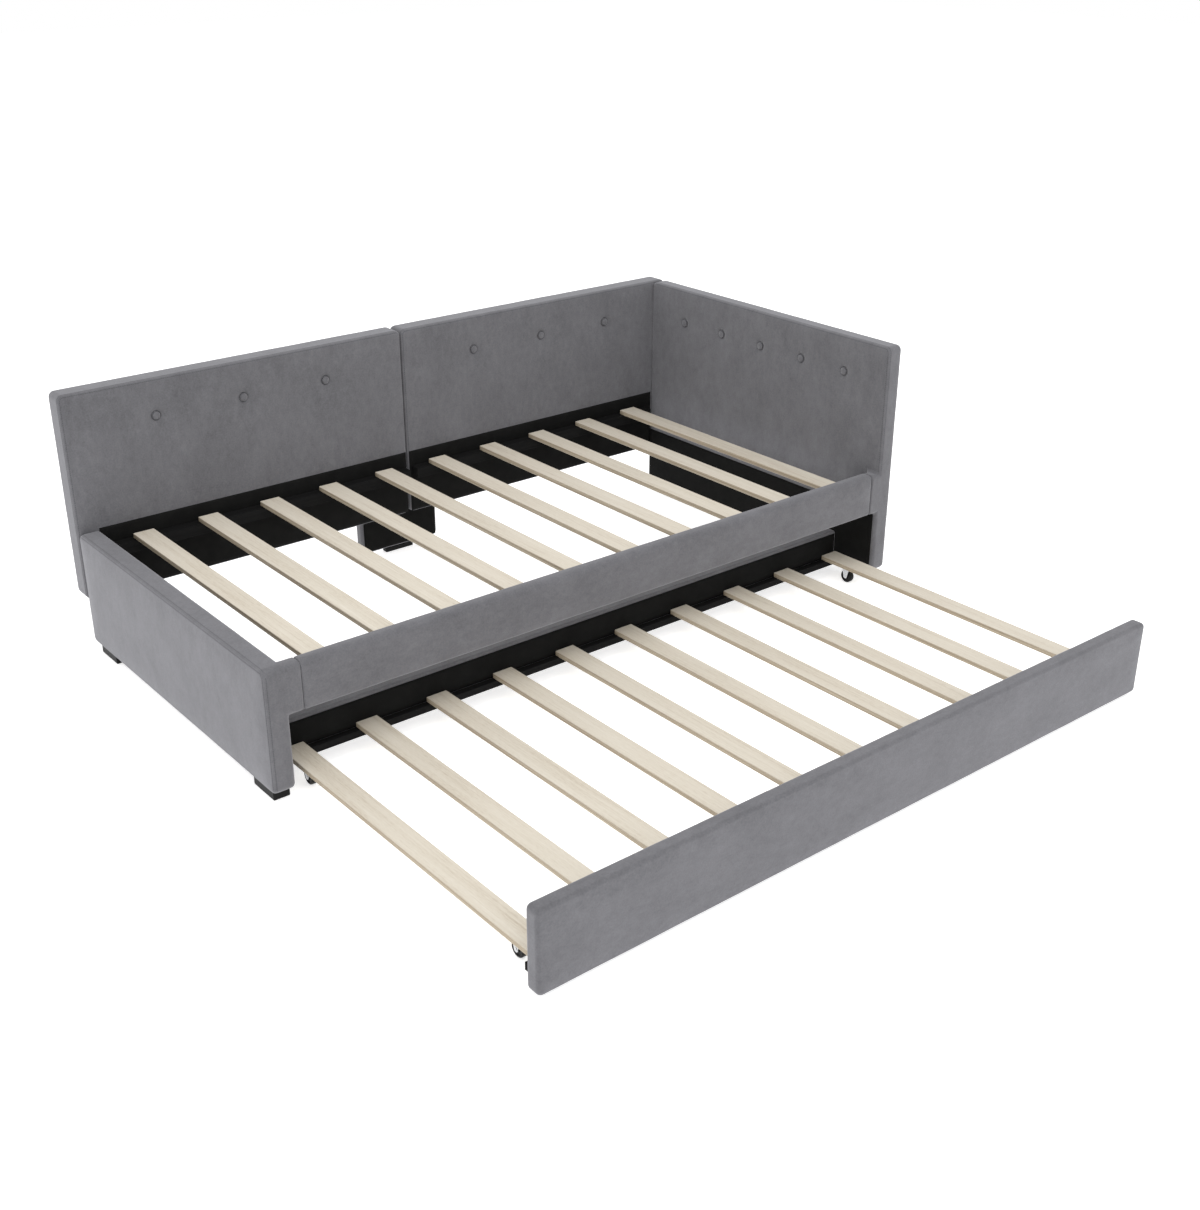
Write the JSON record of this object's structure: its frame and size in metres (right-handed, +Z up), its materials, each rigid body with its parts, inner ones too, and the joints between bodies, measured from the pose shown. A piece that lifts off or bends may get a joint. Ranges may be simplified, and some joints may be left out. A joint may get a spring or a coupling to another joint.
{
  "type": "trundle bed",
  "caption": "Upholstered L-shaped twin daybed on slats, with a low slatted trundle that rolls out of its long side on fixed casters.",
  "frame": {"origin": "on the floor, below the middle of the bed and its drawn-out trundle", "axes": "+X along the bed from the low footboard to the high headboard, +Y from the trundle's front towards the back panels, +Z up"},
  "size_m": [2.07, 2.0622, 0.725],
  "materials": {
    "velvet": "grey short-pile velvet over foam",
    "dust_cloth": "black non-woven cloth",
    "slat_wood": "pale planed poplar laminate",
    "ledge_wood": "black painted batten",
    "foot_plastic": "black moulded plastic",
    "caster_steel": "zinc-plated sheet steel",
    "wheel_plastic": "black nylon"
  },
  "bodies": {
    "bed_frame": {"back_panel_left": "velvet", "back_panel_right": "velvet", "headboard": "velvet", "footboard": "velvet", "front_rail": "velvet", "slat_ledge_back_left": "ledge_wood", "slat_ledge_back_right": "ledge_wood", "slat_ledge_front": "ledge_wood", "bed_slat_01": "slat_wood", "bed_slat_02": "slat_wood", "bed_slat_03": "slat_wood", "bed_slat_04": "slat_wood", "bed_slat_05": "slat_wood", "bed_slat_06": "slat_wood", "bed_slat_07": "slat_wood", "bed_slat_08": "slat_wood", "bed_slat_09": "slat_wood", "bed_slat_10": "slat_wood", "centre_leg": "velvet", "foot_centre_leg": "foot_plastic", "foot_footboard_front": "foot_plastic", "foot_footboard_rear": "foot_plastic", "foot_headboard_front": "foot_plastic", "foot_headboard_rear": "foot_plastic", "button_back_left_1": "velvet", "button_back_left_2": "velvet", "button_back_left_3": "velvet", "button_back_right_1": "velvet", "button_back_right_2": "velvet", "button_back_right_3": "velvet", "button_headboard_1": "velvet", "button_headboard_2": "velvet", "button_headboard_3": "velvet", "button_headboard_4": "velvet", "button_headboard_5": "velvet", "dust_cloth_back_left": "dust_cloth", "dust_cloth_back_right": "dust_cloth", "dust_cloth_headboard": "dust_cloth"},
    "trundle": {"trundle_front_board": "velvet", "trundle_rear_board": "velvet", "trundle_ledge_front": "ledge_wood", "trundle_ledge_rear": "ledge_wood", "trundle_slat_01": "slat_wood", "trundle_slat_02": "slat_wood", "trundle_slat_03": "slat_wood", "trundle_slat_04": "slat_wood", "trundle_slat_05": "slat_wood", "trundle_slat_06": "slat_wood", "trundle_slat_07": "slat_wood", "trundle_slat_08": "slat_wood", "trundle_slat_09": "slat_wood", "trundle_slat_10": "slat_wood", "caster_bracket_front_left": "caster_steel", "caster_bracket_rear_left": "caster_steel", "caster_bracket_front_right": "caster_steel", "caster_bracket_rear_right": "caster_steel"},
    "wheel_front_left": {"caster_wheel_front_left": "wheel_plastic"},
    "wheel_rear_left": {"caster_wheel_rear_left": "wheel_plastic"},
    "wheel_front_right": {"caster_wheel_front_right": "wheel_plastic"},
    "wheel_rear_right": {"caster_wheel_rear_right": "wheel_plastic"}
  },
  "joints": [
    {"name": "trundle_slide", "type": "slide", "parent": "bed_frame", "child": "trundle", "axis": [0, 1, 0], "range_m": [-0.3, 0.922]},
    {"name": "wheel_spin_front_left", "type": "hinge", "parent": "trundle", "child": "wheel_front_left", "pos_m": [-0.923, -0.89715, 0.02], "axis": [1, 0, 0], "continuous": true},
    {"name": "wheel_spin_rear_left", "type": "hinge", "parent": "trundle", "child": "wheel_rear_left", "pos_m": [-0.923, -0.06715, 0.02], "axis": [1, 0, 0], "continuous": true},
    {"name": "wheel_spin_front_right", "type": "hinge", "parent": "trundle", "child": "wheel_front_right", "pos_m": [0.923, -0.89715, 0.02], "axis": [1, 0, 0], "continuous": true},
    {"name": "wheel_spin_rear_right", "type": "hinge", "parent": "trundle", "child": "wheel_rear_right", "pos_m": [0.923, -0.06715, 0.02], "axis": [1, 0, 0], "continuous": true}
  ],
  "couplings": [
    {"joint": "wheel_spin_front_left", "follows": "trundle_slide", "rad_per_m": -50},
    {"joint": "wheel_spin_rear_left", "follows": "trundle_slide", "rad_per_m": -50},
    {"joint": "wheel_spin_front_right", "follows": "trundle_slide", "rad_per_m": -50},
    {"joint": "wheel_spin_rear_right", "follows": "trundle_slide", "rad_per_m": -50}
  ]
}
